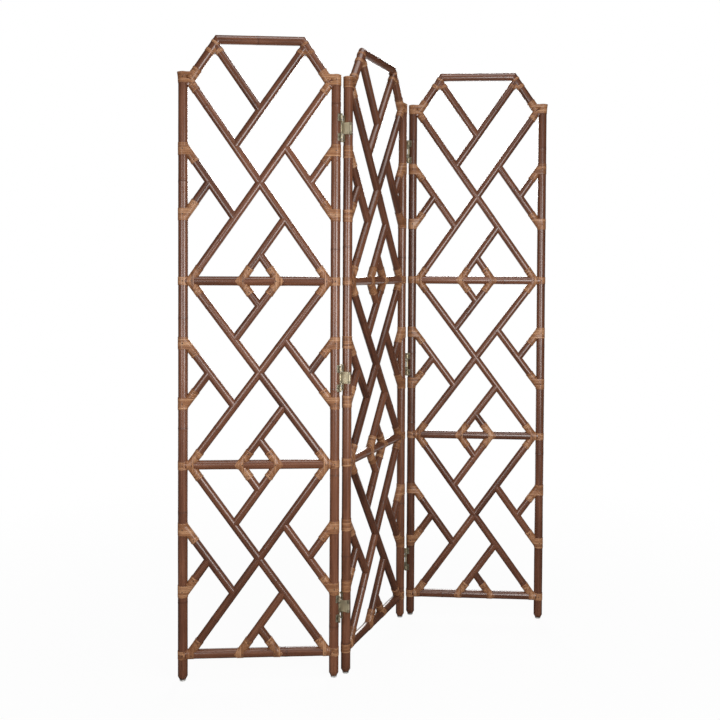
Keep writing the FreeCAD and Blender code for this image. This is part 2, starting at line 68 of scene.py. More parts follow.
# A pole's axis in the panel's plane, from its lower to its upper end
class Axis:
    def __init__(self, first, second, kind):
        self.low, self.high = sorted((first, second), key=lambda point: point[1])
        if first[1] == second[1]:
            self.low, self.high = first, second
        self.radius = poleRadius[kind]
        run = (self.high[0] - self.low[0], self.high[1] - self.low[1])
        self.length = math.hypot(*run)
        self.way = (run[0] / self.length, run[1] / self.length)

    def at(self, distance):
        return (self.low[0] + self.way[0] * distance, self.low[1] + self.way[1] * distance)


def crossing(first, second):
    gap = (second.low[0] - first.low[0], second.low[1] - first.low[1])
    turn = first.way[0] * second.way[1] - first.way[1] * second.way[0]
    return first.at((gap[0] * second.way[1] - gap[1] * second.way[0]) / turn)


halfWidth = panelSize["halfWidth"]
railJoint = panelSize["railJoint"]
centreJoint = panelSize["centreJoint"]
crestHeight = panelSize["crestHeight"]
crestCorner = panelSize["crestCorner"]
railHeights = (panelSize["upperRail"], panelSize["lowerRail"], panelSize["bottomRail"])
posts = {}
for side in (-1, 1):
    foot = (side * halfWidth, panelSize["footHeight"])
    posts[side] = Axis(foot, (side * halfWidth, panelSize["postHeight"]), "post")
rails = {height: Axis((-halfWidth, height), (halfWidth, height), "rail") for height in railHeights}
crest = Axis((-crestCorner, crestHeight), (crestCorner, crestHeight), "crest")
topBayUpper = 2.0 * panelSize["topBayCentre"] - panelSize["upperRail"]
topSlope = (topBayUpper - panelSize["upperRail"]) / (2.0 * railJoint)
shoulderFoot = panelSize["shoulderFoot"]
shoulderFootHeight = panelSize["topBayCentre"] + topSlope * shoulderFoot
shoulders = {}
for side in (-1, 1):
    foot = (side * shoulderFoot, shoulderFootHeight)
    shoulders[side] = Axis(foot, (side * crestCorner, crestHeight), "crest")


# One bay of fretwork, the same when it is turned upside down
class Bay:
    def __init__(self, lower, upper, fallingIsLong, isTop):
        self.lower, self.upper = lower, upper
        self.centre = (lower + upper) / 2.0
        self.slope = (upper - lower) / (2.0 * railJoint)
        headX, headZ = (shoulderFoot, shoulderFootHeight) if isTop else (railJoint, upper)
        armX = (railJoint - centreJoint) / 2.0
        armZ = lower + self.slope * (railJoint + centreJoint) / 2.0
        rise = self.slope * (halfWidth + centreJoint)
        middle = (0.0, self.centre)
        self.falling = [Axis((railJoint, lower), middle, "fret"), Axis(middle, (-headX, headZ), "fret")]
        self.rising = [Axis((-railJoint, lower), middle, "fret"), Axis(middle, (headX, headZ), "fret")]
        longOne, self.halves = (self.falling, self.rising) if fallingIsLong else (self.rising, self.falling)
        self.long = [Axis(longOne[0].low, longOne[1].high, "fret")]
        self.highJoint = lower + rise
        self.lowJoint = upper - rise
        leftLong = self.brace((-halfWidth, self.highJoint), (-armX, armZ))
        leftShort = self.brace((centreJoint - railJoint, self.centre), (-halfWidth, self.lowJoint))
        bottomLong = self.brace((-centreJoint, lower), (armX, armZ))
        bottomShort = self.brace((centreJoint, lower), (0.0, lower + self.slope * centreJoint))
        topLong = self.turned(bottomLong)
        topShort = self.turned(bottomShort)
        if isTop:
            topLong = self.brace(topLong.low, crossing(topLong, shoulders[1]))
            topShort = self.brace(topShort.low, crossing(topShort, shoulders[-1]))
        self.longBraces = [leftLong, self.turned(leftLong), bottomLong, topLong]
        self.shortBraces = [leftShort, self.turned(leftShort), bottomShort, topShort]

    def brace(self, first, second):
        return Axis(first, second, "fret")

    def turned(self, pole):
        ends = [(-point[0], 2.0 * self.centre - point[1]) for point in (pole.low, pole.high)]
        return Axis(ends[0], ends[1], "fret")


bays = [
    Bay(panelSize["bottomRail"], panelSize["lowerRail"], True, False),
    Bay(panelSize["lowerRail"], panelSize["upperRail"], False, False),
    Bay(panelSize["upperRail"], topBayUpper, True, True),
]
print("panel lines:", len(bays), "bays,", len(rails), "rails")


# Where each panel stands, read from its posts
class PanelPlace:
    def __init__(self, panel):
        middles = []
        for side in ("left", "right"):
            low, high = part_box(panel + "_" + side + "_post")
            middles.append((low + high) / 2.0)
        first, second = middles
        along = (second - first).normalized()
        self.origin = np.array([(first.x + second.x) / 2.0, (first.y + second.y) / 2.0, 0.0])
        self.axes = np.array([[along.x, along.y, 0.0], [-along.y, along.x, 0.0], [0.0, 0.0, 1.0]])

    def world(self, points):
        return self.origin + (np.asarray(points) * mm) @ self.axes


# Collects rings of points into one mesh, with the values that the finishes read
class RingPile:
    def __init__(self):
        self.points, self.faces = [], []
        self.values = {"grain": [], "tint": [], "mark": []}
        self.count = 0

    def add(self, points, grain, tint, mark, caps=(False, False)):
        rows, columns = points.shape[:2]
        index = np.arange(rows * columns).reshape(rows, columns) + self.count
        ahead = np.roll(index, -1, axis=1)
        quads = np.stack([index[:-1], ahead[:-1], ahead[1:], index[1:]], axis=-1).reshape(-1, 4)
        self.faces.extend(quads.tolist())
        if caps[0]:
            self.faces.append(index[0][::-1].tolist())
        if caps[1]:
            self.faces.append(index[-1].tolist())
        self.points.append(points.reshape(-1, 3))
        self.values["grain"].append(grain.reshape(-1, 3))
        self.values["tint"].append(np.broadcast_to(tint, (rows, columns)).reshape(-1))
        self.values["mark"].append(np.broadcast_to(mark, (rows, columns)).reshape(-1))
        self.count += rows * columns

    def build(self, name, panel, place, material, node, slot):
        mesh = bpy.data.meshes.new(name)
        mesh.from_pydata(place.world(np.concatenate(self.points)).tolist(), [], self.faces)
        for key, parts in self.values.items():
            wide = key == "grain"
            layer = mesh.attributes.new(key, "FLOAT_VECTOR" if wide else "FLOAT", "POINT")
            flat = np.concatenate(parts).astype(np.float32).ravel()
            layer.data.foreach_set("vector" if wide else "value", flat)
        mesh.polygons.foreach_set("use_smooth", [len(face) == 4 for face in self.faces])
        mesh.materials.append(material)
        piece = bpy.data.objects.new(name, mesh)
        bpy.context.scene.collection.objects.link(piece)
        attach(piece, panel)
        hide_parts(panel + "_" + node)


# Points of a ring round an axis: angle 0 faces the front
def ringPoints(axis, distances, radii, sway, angles):
    along = np.array([axis.way[0], 0.0, axis.way[1]])
    across = np.array([-axis.way[1], 0.0, axis.way[0]])
    front = np.array([0.0, -1.0, 0.0])
    start = np.array([axis.low[0], 0.0, axis.low[1]])
    middle = start + distances[..., None] * along + sway[..., :1] * across + sway[..., 1:] * front
    outwards = np.cos(angles)[..., None] * front + np.sin(angles)[..., None] * across
    return middle + radii[..., None] * outwards


def aroundPole(columns):
    return np.linspace(0.0, 2.0 * math.pi, columns, endpoint=False)[None, :]


def newSeed():
    return random.randrange(100000)


# Rattan poles: straight to the eye, with small swellings at the joints of the cane
poleLook = {
    "columns": 22,
    "rowStep": 9.0,
    "wanderSteps": 32,  # more than the longest pole needs
    "thicknessSpread": 0.012,
    "thicknessStep": 90.0,
    "sway": 0.5,
    "swayStep": 400.0,
    "swayLength": 600.0,  # shorter poles sway less
    "caneStep": (230.0, 430.0),
    "firstJoint": (20.0, 320.0),
    "jointMargin": 12.0,
    "jointRows": (-6.0, -3.0, -1.2, 0.0, 1.2, 3.0, 6.0),
    "swelling": (0.42, 0.0, 4.5),  # height, place beside the joint and width
    "crease": (-0.3, 1.2, 1.1),
    "stain": (1.0, 1.0, 2.2),
    "topEase": 1.0,
    "footRounding": 5.0,
    "shoulderTuck": 14.0,  # how far a shoulder runs on under the binding of the post top
    "mitreReach": 20.0,
    "grainShift": 7.0,
}


# A wandering line through random heights, one at each whole number
def wandering(seed):
    heights = np.random.RandomState(seed).uniform(-1.0, 1.0, poleLook["wanderSteps"])
    return lambda spots: np.interp(spots, np.arange(len(heights)), heights)


def caneJoints(length):
    places = []
    spot = random.uniform(*poleLook["firstJoint"])
    while spot < length:
        places.append(spot)
        spot += random.uniform(*poleLook["caneStep"])
    margin = poleLook["jointMargin"]
    return [place for place in places if margin < place < length - margin]


def jointBump(rows, spot, size):
    height, beside, width = size
    return height * np.exp(-(((rows - spot - beside) / width) ** 2))


def addPole(pile, axis, tuck=0.0, caps=(False, False), mitre=None):
    seed = newSeed()
    tint = random.random()
    joints = caneJoints(axis.length)
    rows = list(np.arange(-tuck, axis.length, poleLook["rowStep"])) + [axis.length]
    for spot in joints:
        rows.extend(spot + step for step in poleLook["jointRows"])
    rows = np.array(sorted(set(round(float(row), 3) for row in rows)))
    turns = aroundPole(poleLook["columns"])
    angles = turns + 0.0 * rows[:, None]
    spread = poleLook["thicknessSpread"] * wandering(seed)(rows / poleLook["thicknessStep"] + 1.0)
    radius = axis.radius * (1.0 + spread)
    mark = np.zeros_like(rows)
    for spot in joints:
        radius += jointBump(rows, spot, poleLook["swelling"])
        radius += jointBump(rows, spot, poleLook["crease"])
        mark = np.maximum(mark, jointBump(rows, spot, poleLook["stain"]))
    if caps[1]:  # eased edge of an open top
        ease = poleLook["topEase"]
        radius = radius - np.clip(rows - axis.length + ease, 0.0, ease)
    if caps[0]:  # rounded foot
        rounding = poleLook["footRounding"]
        inset = 1.0 - np.clip((rows + tuck) / rounding, 0.0, 1.0)
        radius = radius - rounding * (1.0 - np.sqrt(1.0 - inset ** 2))
    bend = np.sin(np.clip(rows / axis.length, 0.0, 1.0) * math.pi)
    amount = poleLook["sway"] * min(1.0, axis.length / poleLook["swayLength"])
    places = rows / poleLook["swayStep"] + 1.0
    sway = np.stack([amount * bend * wandering(seed + step)(places) for step in (1, 2)], axis=-1)
    distances = rows[:, None] + 0.0 * turns
    if mitre is not None:
        distances = distances + mitre(rows, angles)
    radii = radius[:, None] + 0.0 * turns
    points = ringPoints(axis, distances, radii, sway[:, None, :], angles)
    shift = random.uniform(0.0, poleLook["grainShift"])
    grain = [radii * np.cos(angles) * mm, radii * np.sin(angles) * mm, distances * mm + shift]
    pile.add(points, np.stack(grain, axis=-1), tint, mark[:, None], caps)


# The crest rail and its shoulders meet on the plane that halves their angle
def mitreShift(axis, side):
    corner = np.array([side * crestCorner, crestHeight])
    shoulderWay = np.array(shoulders[side].way)
    normal = np.array([side, 0.0]) - shoulderWay
    along = np.array(axis.way)
    across = np.array([-along[1], along[0]])
    lean = -axis.radius * (across @ normal) / (along @ normal)
    endAt = (corner - np.array(axis.low)) @ along

    def shift(rows, angles):
        near = np.clip(1.0 - np.abs(rows - endAt) / poleLook["mitreReach"], 0.0, 1.0)
        return near[:, None] * lean * np.sin(angles)

    return shift


def crestMitre(rows, angles):
    return mitreShift(crest, -1)(rows, angles) + mitreShift(crest, 1)(rows, angles)


# Wound peel: flat strips laid edge to edge round one pole, or tightly round the poles of a joint
peelLook = {
    "stripWidth": 4.8,
    "thickness": 0.95,
    "grooveDepth": 0.5,
    "crownPower": 5,  # how flat the strips are between their edges
    "rowsPerStrip": 5,
    "leastRows": 4,
    "columns": 24,
    "jointColumns": 40,
    "endLift": 0.5,  # the last turn is pulled over the ones before
    "stripSpread": 0.24,
    "tuck": -0.4,  # both rims end inside the pole
    "overlap": 2.0,
    "wave": (0.12, 6.0),  # in strips, and the widest angle at which it may begin
    "firstTurn": 0.2,
    "grainStep": 3.0,  # each strip has its own stretch of grain
    "shadeShare": 0.75,  # of the tint, the rest being the whole binding's
}


# Height above the pole, crown and shade of the strips, from turns counted along it
def stripShape(turn):
    number = np.floor(turn).astype(int)
    crown = 1.0 - np.abs(2.0 * (turn - number) - 1.0) ** peelLook["crownPower"]
    draw = np.random.RandomState(newSeed()).uniform(0.0, 1.0, int(number.max()) + 2)
    shade = draw[np.clip(number, 0, None)]
    height = peelLook["thickness"] - peelLook["grooveDepth"] * (1.0 - crown)
    return height + peelLook["stripSpread"] * (shade - 0.5), crown, shade


def stripRows(long):
    count = int(round(long / peelLook["stripWidth"] * peelLook["rowsPerStrip"]))
    count = max(peelLook["leastRows"], count)
    return np.concatenate([[0.0], np.linspace(0.0, 1.0, count + 1), [1.0]])[:, None]


def addStrips(pile, points, grain, shade, crown, caps=(False, False)):
    share = peelLook["shadeShare"]
    tint = share * shade + (1.0 - share) * random.random()
    pile.add(points, np.stack(grain, axis=-1), tint, crown, caps)


# Strips wound round one pole, from one distance along it to another, each plain or different round the pole
def addWinding(pile, axis, start, end, lifted=None, extra=0.0):
    angles = aroundPole(peelLook["columns"])
    begin = start(angles) if callable(start) else start + 0.0 * angles
    finish = end(angles) if callable(end) else end + 0.0 * angles
    share = stripRows(float(np.max(finish - begin)))
    distances = begin + (finish - begin) * share
    strip = peelLook["stripWidth"]
    turn = (distances - distances.min()) / strip + angles / (2.0 * math.pi) + random.random()
    height, crown, shade = stripShape(turn)
    height = height + extra
    if lifted == "start":
        height = height + peelLook["endLift"] * (distances - begin < strip)
    if lifted == "end":
        height = height + peelLook["endLift"] * (finish - distances < strip)
    height[0] = peelLook["tuck"]
    height[-1] = peelLook["tuck"]
    angles = angles + 0.0 * share
    points = ringPoints(axis, distances, axis.radius + height, np.zeros(distances.shape + (2,)), angles)
    around = axis.radius * mm
    along = distances * mm + shade * peelLook["grainStep"]
    addStrips(pile, points, [np.cos(angles) * around, np.sin(angles) * around, along], shade, crown)


# Strips drawn tight round several poles at once. Each section says where a pole is at a level, how far it
# reaches along the panel's plane and in depth, and which side of the wrap it may shape (0 for both)
def addTightWrap(pile, levels, sections, upright, flare=None):
    angles = aroundPole(levels.shape[1]) + 0.0 * levels
    sine, cosine = np.sin(angles), np.cos(angles)
    waveSize, waveAngle = peelLook["wave"]
    wave = waveSize * np.sin(angles + random.uniform(0.0, waveAngle))
    turn = (levels - levels.min()) / peelLook["stripWidth"] + wave + peelLook["firstTurn"] + random.random()
    height, crown, shade = stripShape(turn)
    if flare is not None:
        height = height + flare(levels, sine)
    height[0] = peelLook["tuck"]
    height[-1] = peelLook["tuck"]
    best = np.full(levels.shape, -np.inf)
    along, out = np.zeros(levels.shape), np.zeros(levels.shape)
    for centre, inPlane, inDepth, facing in sections:
        wide, deep = inPlane + height, inDepth + height
        reach = np.hypot(wide * sine, deep * cosine)
        support = centre * sine + reach
        allowed = np.isfinite(centre) & ((sine * facing > 0.0) | (facing == 0))
        chosen = allowed & (np.where(allowed, support, -np.inf) > best)
        best = np.where(chosen, support, best)
        along = np.where(chosen, centre + wide ** 2 * sine / reach, along)
        out = np.where(chosen, deep ** 2 * cosine / reach, out)
    order = [along, -out, levels] if upright else [levels, -out, along]
    grain = [along * mm, out * mm, levels * mm + shade * peelLook["grainStep"]]
    addStrips(pile, np.stack(order, axis=-1), grain, shade, crown, (upright, True))


# Where the surface of a slanting pole crosses a level plane, or an upright one
def atHeight(axis, height):
    across, up = axis.way
    return lambda angles: (height - axis.low[1] - axis.radius * np.sin(angles) * across) / up


def atPlace(axis, place):
    across, up = axis.way
    return lambda angles: (place - axis.low[0] + axis.radius * np.sin(angles) * up) / across


def shifted(cut, step):
    return lambda angles: cut(angles) + step


# The rest of a joint's strips, wound on along a pole to a given reach from the joint
def addCollar(pile, axis, atLow, cut, reach):
    if atLow:
        addWinding(pile, axis, shifted(cut, -peelLook["overlap"]), reach, "end")
    else:
        addWinding(pile, axis, axis.length - reach, shifted(cut, peelLook["overlap"]), "start")


# How far the strips of each binding run, in millimetres
bindingLook = {
    "postBand": 34.4,  # ends just above the hinge links of the next panel when folded
    "bandInset": 9.0,
    "braceCollar": 60.0,
    "railBand": 23.0,
    "railEnd": (11.0, 31.5),
    "diagonalCollar": 47.0,
    "centreInner": 10.5,
    "centreCollar": 46.0,
    "topBand": 30.0,
    "topFlare": 2.6,  # only outwards on a free edge, because folded panels leave no room
    "topStep": 1.0,  # the cut end of the post stands proud of its band
    "shoulderFrom": 13.0,
    "diagonalTo": 4.0,
    "shoulderCollar": (5.0, 40.0),
    "topCollar": (4.0, 34.0),
    "crestRings": ((8.0, 15.0), (34.0, 45.0)),
    "braceRing": (18.0, 29.0),
    "ringExtra": 0.2,
    "web": (-5.0, 9.0),  # below and above the crotch under the crest corner
    "webSink": 2.4,
}


def postJoints(bay):
    inset = bay.slope * bindingLook["bandInset"]
    return [
        (-1, bay.longBraces[0], bay.highJoint, bay.highJoint - inset),
        (-1, bay.shortBraces[0], bay.lowJoint, bay.lowJoint + inset),
        (1, bay.longBraces[1], 2.0 * bay.centre - bay.highJoint, 2.0 * bay.centre - bay.highJoint + inset),
        (1, bay.shortBraces[1], 2.0 * bay.centre - bay.lowJoint, 2.0 * bay.centre - bay.lowJoint - inset),
    ]


def postBindings(pile):
    half = bindingLook["postBand"] / 2.0
    for bay in bays:
        for side, brace, joint, middle in postJoints(bay):
            ends = [middle - half, middle + half]
            levels = ends[0] + 2.0 * half * stripRows(2.0 * half) + np.zeros((1, peelLook["jointColumns"]))
            hangsDown = abs(brace.high[0]) > abs(brace.low[0])
            isThere = levels <= joint if hangsDown else levels >= joint
            place = brace.low[0] + (levels - brace.low[1]) * brace.way[0] / brace.way[1]
            post = (np.full(levels.shape, side * halfWidth), posts[side].radius, posts[side].radius, 0)
            slanting = (np.where(isThere, place, np.nan), brace.radius / brace.way[1], brace.radius, -side)
            addTightWrap(pile, levels, [post, slanting], True)
            edge = ends[0] if hangsDown else ends[1]
            addCollar(pile, brace, not hangsDown, atHeight(brace, edge), bindingLook["braceCollar"])


def diagonalEnd(bay, side, atFoot):
    poles = bay.rising if (side < 0) == atFoot else bay.falling
    return poles[0] if atFoot else poles[1]


# A wrap along a rail that also takes in the poles leaving it upwards and downwards
def addRailWrap(pile, rail, arms, begin, finish):
    share = stripRows(float(np.max(np.abs(finish - begin))))
    levels = begin + (finish - begin) * share
    height = rail.low[1]
    sections = [(np.full(levels.shape, height), rail.radius, rail.radius, 0)]
    for arm, facing in arms:
        place = arm.low[1] + (levels - arm.low[0]) * arm.way[1] / arm.way[0]
        sections.append((place, arm.radius / abs(arm.way[0]), arm.radius, facing))
    addTightWrap(pile, levels, sections, False)


def railBindings(pile):
    angles = aroundPole(peelLook["jointColumns"])
    for height, rail in rails.items():
        above = next(bay for bay in bays if bay.lower == height)
        below = next((bay for bay in bays if bay.upper == height), None)
        for side in (-1, 1):
            half = bindingLook["railBand"] / 2.0
            low = height - posts[side].low[1] - half
            addWinding(pile, posts[side], low, low + 2.0 * half)
            near, far = bindingLook["railEnd"]
            ends = [(diagonalEnd(above, side, True), 1)]
            middles = [(above.longBraces[2] if side < 0 else above.shortBraces[2], 1)]
            if below:
                ends.append((diagonalEnd(below, side, False), -1))
                middles.append((below.shortBraces[3] if side < 0 else below.longBraces[3], -1))
            inner = side * (halfWidth - far)
            addRailWrap(pile, rail, ends, side * (halfWidth - near) + 0.0 * angles, inner + 0.0 * angles)
            # The outer edge is an arrow head whose sides carry on the edges of the braces
            brace = middles[0][0]
            slope = brace.way[1] / abs(brace.way[0])
            spread = (brace.radius + peelLook["thickness"]) / brace.way[1]
            tip = centreJoint + spread - rail.radius * np.abs(np.sin(angles)) / slope
            middle = side * (centreJoint - bindingLook["centreInner"])
            addRailWrap(pile, rail, middles, side * tip, middle + 0.0 * angles)
            for arm, facing in ends:
                addCollar(pile, arm, facing > 0, atPlace(arm, inner), bindingLook["diagonalCollar"])
            for arm, facing in middles:
                addCollar(pile, arm, facing > 0, atPlace(arm, middle), bindingLook["centreCollar"])


# Strips across the crotch where a brace meets a shoulder, showing only between the two poles
def addCrotchWeb(pile, shoulder, brace):
    crotch = brace.high[1] - brace.radius / abs(brace.way[0])
    low, high = (crotch + step for step in bindingLook["web"])
    levels = low + (high - low) * stripRows(high - low) + np.zeros((1, peelLook["jointColumns"]))
    sections = []
    for pole in (shoulder, brace):
        place = pole.low[0] + (levels - pole.low[1]) * pole.way[0] / pole.way[1]
        deep = pole.radius - bindingLook["webSink"]
        sections.append((place, deep / pole.way[1], deep, 0))
    addTightWrap(pile, levels, sections, True)


def crestBindings(pile, freeSide):
    topBay = bays[2]
    top = panelSize["postHeight"] - bindingLook["topStep"]
    tall = bindingLook["topBand"]
    for side in (-1, 1):
        shoulder, post = shoulders[side], posts[side]
        levels = top - tall + tall * stripRows(tall) + np.zeros((1, peelLook["jointColumns"]))
        place = shoulder.low[0] + (levels - shoulder.low[1]) * shoulder.way[0] / shoulder.way[1]
        isThere = levels > shoulder.low[1] + bindingLook["shoulderFrom"]
        diagonal = diagonalEnd(topBay, side, False)
        start = diagonal.low[0] + (levels - diagonal.low[1]) * diagonal.way[0] / diagonal.way[1]
        isBelow = levels < diagonal.high[1] + bindingLook["diagonalTo"]
        sections = [
            (np.full(levels.shape, side * halfWidth), post.radius, post.radius, 0),
            (np.where(isThere, place, np.nan), shoulder.radius / shoulder.way[1], shoulder.radius, -side),
            (np.where(isBelow, start, np.nan), diagonal.radius / diagonal.way[1], diagonal.radius, -side),
        ]

        def flare(heights, sine):
            rise = np.clip((heights - top + tall) / tall, 0.0, 1.0) ** 2
            return bindingLook["topFlare"] * rise * np.clip(side * sine, 0.0, 1.0)

        addTightWrap(pile, levels, sections, True, flare if side == freeSide else None)
        near, far = bindingLook["shoulderCollar"]
        addWinding(pile, shoulder, near, far, "end")
        brace = topBay.shortBraces[3] if side < 0 else topBay.longBraces[3]
        near, far = bindingLook["topCollar"]
        addWinding(pile, diagonal, diagonal.length - far, diagonal.length - near, "start")
        rings = [(shoulder, span) for span in bindingLook["crestRings"]]
        rings.append((brace, bindingLook["braceRing"]))
        for pole, (near, far) in rings:
            addWinding(pile, pole, pole.length - far, pole.length - near, extra=bindingLook["ringExtra"])
        addCrotchWeb(pile, shoulder, brace)


# A socket that takes part in Python sums, and the one way that other nodes are made
class Wire:
    def __init__(self, tree, socket=None):
        self.tree = tree
        self.socket = socket

    def node(self, kind, settings=None, sockets=None, out=0):
        made = self.tree.nodes.new(kind)
        for name, value in (settings or {}).items():
            if name == "stops":
                ramp = made.color_ramp.elements
                while len(ramp) < len(value):
                    ramp.new(0.5)
                for stop, (position, colour) in zip(ramp, value):
                    stop.position = position
                    stop.color = (*colour, 1.0)
            else:
                setattr(made, name, value)
        for name, value in (sockets or {}).items():
            if isinstance(value, Wire):
                self.tree.links.new(value.socket, made.inputs[name])
            else:
                made.inputs[name].default_value = value
        return Wire(self.tree, made.outputs[out] if made.outputs else None)

    def math(self, operation, first, second):
        return self.node("ShaderNodeMath", {"operation": operation}, {0: first, 1: second})

    def __add__(self, other):
        return self.math("ADD", self, other)

    def __radd__(self, other):
        return self.math("ADD", other, self)

    def __sub__(self, other):
        return self.math("SUBTRACT", self, other)

    def __rsub__(self, other):
        return self.math("SUBTRACT", other, self)

    def __mul__(self, other):
        return self.math("MULTIPLY", self, other)

    def __rmul__(self, other):
        return self.math("MULTIPLY", other, self)

    def most(self, other):
        return self.math("MAXIMUM", self, other)

    def reading(self, name, out="Fac"):
        return self.node("ShaderNodeAttribute", {"attribute_name": name}, out=out)

    def noise(self, vector, stretch, scale, detail):
        spread = self.node("ShaderNodeMapping", sockets={"Vector": vector, "Scale": stretch})
        return self.node("ShaderNodeTexNoise", sockets={"Vector": spread, "Scale": scale, "Detail": detail})

    def ramp(self, factor, stops):
        return self.node("ShaderNodeValToRGB", {"stops": stops}, {"Fac": factor})

    def blend(self, factor, first, second):
        sockets = {0: factor, 6: first, 7: second}  # Mix keeps its colours in sockets 6 and 7
        return self.node("ShaderNodeMix", {"data_type": "RGBA"}, sockets, 2)


def newFinish(name):
    material = bpy.data.materials.new(name)
    material.use_nodes = True
    material.node_tree.nodes.clear()
    return material, Wire(material.node_tree)


def finishWith(wire, sockets):
    shader = wire.node("ShaderNodeBsdfPrincipled", sockets=sockets)
    wire.node("ShaderNodeOutputMaterial", sockets={"Surface": shader})


def colourStops(look):
    return list(zip(look["stops"], (look["dark"], look["middle"], look["light"])))


poleFinish = {
    "dark": (0.052, 0.017, 0.008),
    "middle": (0.120, 0.041, 0.018),
    "light": (0.210, 0.080, 0.037),
    "stops": (0.30, 0.5, 0.72),
    "streaks": ((1.0, 1.0, 0.035), 260.0, 3.0),  # stretch of the grain, scale and detail
    "fibres": ((1.0, 1.0, 0.02), 1100.0, 2.0),
    "patches": ((1.0, 1.0, 0.22), 30.0, 2.0),
    "shares": (0.42, 0.34, 0.14, 0.16),  # of streaks, patches, fibres and the pole's own tint
    "toneShift": 0.03,
    "jointDark": 0.55,
    "roughness": (0.34, 0.14),
    "shine": 0.3,
    "lacquer": 1.0,
    "lacquerRoughness": 0.26,
    "bump": 0.08,
    "bumpDepth": 0.0006,
}


def rattanPole():
    material, wire = newFinish("stained rattan")
    grain = wire.reading("grain", "Vector")
    streaks = wire.noise(grain, *poleFinish["streaks"])
    fibres = wire.noise(grain, *poleFinish["fibres"])
    patches = wire.noise(grain, *poleFinish["patches"])
    shares = poleFinish["shares"]
    tone = shares[0] * streaks + shares[1] * patches + shares[2] * fibres + shares[3] * wire.reading("tint")
    colour = wire.ramp(tone - poleFinish["toneShift"], colourStops(poleFinish))
    colour = wire.blend(wire.reading("mark") * poleFinish["jointDark"], colour, (*poleFinish["dark"], 1.0))
    lift = {"Strength": poleFinish["bump"], "Distance": poleFinish["bumpDepth"], "Height": fibres}
    finishWith(wire, {
        "Base Color": colour,
        "Roughness": poleFinish["roughness"][0] + poleFinish["roughness"][1] * streaks,
        "Specular IOR Level": poleFinish["shine"],
        "Coat Weight": poleFinish["lacquer"],
        "Coat Roughness": poleFinish["lacquerRoughness"],
        "Normal": wire.node("ShaderNodeBump", sockets=lift),
    })
    return material


peelFinish = {
    "dark": (0.125, 0.046, 0.018),
    "middle": (0.270, 0.115, 0.048),
    "light": (0.440, 0.235, 0.120),
    # painted shade: the dark colour put into the grooves between the strips
    "paintedGrooveShade": (0.050, 0.018, 0.008),
    "stops": (0.22, 0.48, 0.78),
    "fibres": ((0.15, 0.15, 1.0), 900.0, 2.0),  # stretch of the grain, scale and detail
    "patches": ((1.0, 1.0, 1.0), 60.0, 2.0),
    "shares": (0.45, 0.3, 0.25),  # of the strip's own tint, patches and fibres
    "grooveShadeStrength": 0.8,
    "roughness": (0.28, 0.16),
    "shine": 0.5,
}


def rattanPeel():
    material, wire = newFinish("wound peel")
    grain = wire.reading("grain", "Vector")
    fibres = wire.noise(grain, *peelFinish["fibres"])
    patches = wire.noise(grain, *peelFinish["patches"])
    shares = peelFinish["shares"]
    tone = shares[0] * wire.reading("tint") + shares[1] * patches + shares[2] * fibres
    colour = wire.ramp(tone, colourStops(peelFinish))
    # Painted shade: the edges of each strip, in the grooves between strips, are blended towards a dark
    # colour
    grooveShading = (1.0 - wire.reading("mark")) * peelFinish["grooveShadeStrength"]
    colour = wire.blend(grooveShading, colour, (*peelFinish["paintedGrooveShade"], 1.0))
    finishWith(wire, {
        "Base Color": colour,
        "Roughness": peelFinish["roughness"][0] + peelFinish["roughness"][1] * fibres,
        "Specular IOR Level": peelFinish["shine"],
    })
    return material


# Finishes of the small metal and plastic pieces, which keep their solid shapes
smallFinish = {"stops": (0.35, 0.65), "detail": 3.0, "roughnessSpread": 0.15}
smallColours = {  # dark and light, scale of the spots, roughness and metallic
    "agedBrass": ((0.50, 0.43, 0.28), (0.62, 0.55, 0.38), 60.0, 0.28, 0.6),
    # Painted shade: a darker copy of the links' brass, standing in for the shade that the hinge leaves and
    # pins sit in
    "shadedBrass": ((0.22, 0.19, 0.13), (0.34, 0.30, 0.21), 60.0, 0.35, 0.6),
    "dullBrass": ((0.16, 0.13, 0.08), (0.34, 0.29, 0.18), 200.0, 0.4, 0.9),
    "darkIron": ((0.016, 0.009, 0.006), (0.045, 0.026, 0.017), 300.0, 0.55, 0.0),
    "plainSteel": ((0.40, 0.40, 0.41), (0.56, 0.56, 0.57), 150.0, 0.3, 1.0),
    "paleGlide": ((0.42, 0.42, 0.40), (0.56, 0.56, 0.54), 90.0, 0.45, 0.0),
}


def spottedFinish(name, dark, light, scale, roughness, metallic):
    material, wire = newFinish(name)
    place = wire.node("ShaderNodeTexCoord", out="Object")
    pattern = {"Vector": place, "Scale": scale, "Detail": smallFinish["detail"]}
    spots = wire.node("ShaderNodeTexNoise", sockets=pattern)
    finishWith(wire, {
        "Base Color": wire.ramp(spots, list(zip(smallFinish["stops"], (dark, light)))),
        "Roughness": roughness + smallFinish["roughnessSpread"] * spots,
        "Metallic": metallic,
    })
    return material


nodeFinishes = {
    # the leaves and pins take the darker brass as painted shade, the links the plain brass
    "hinge_leaves": "shadedBrass",
    "hinge_links": "agedBrass",
    "hinge_pins": "shadedBrass",
    "hinge_screws": "dullBrass",
    "binding_tacks": "darkIron",
    "joint_nails": "plainSteel",
    "foot_glides": "paleGlide",
}
poleMaterial = rattanPole()
peelMaterial = rattanPeel()
finishes = {name: spottedFinish(name, *look) for name, look in smallColours.items()}
for panel in panels:
    for node, finish in nodeFinishes.items():
        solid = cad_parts[panel + "_" + node]
        solid.data.materials.clear()
        solid.data.materials.append(finishes[finish])
print("finishes:", 2 + len(finishes))


# Every pole group of a panel, with what differs from a plain pole between joints
fretPoles = {
    "long_diagonals": "long",
    "half_diagonals": "halves",
    "long_braces": "longBraces",
    "short_braces": "shortBraces",
}


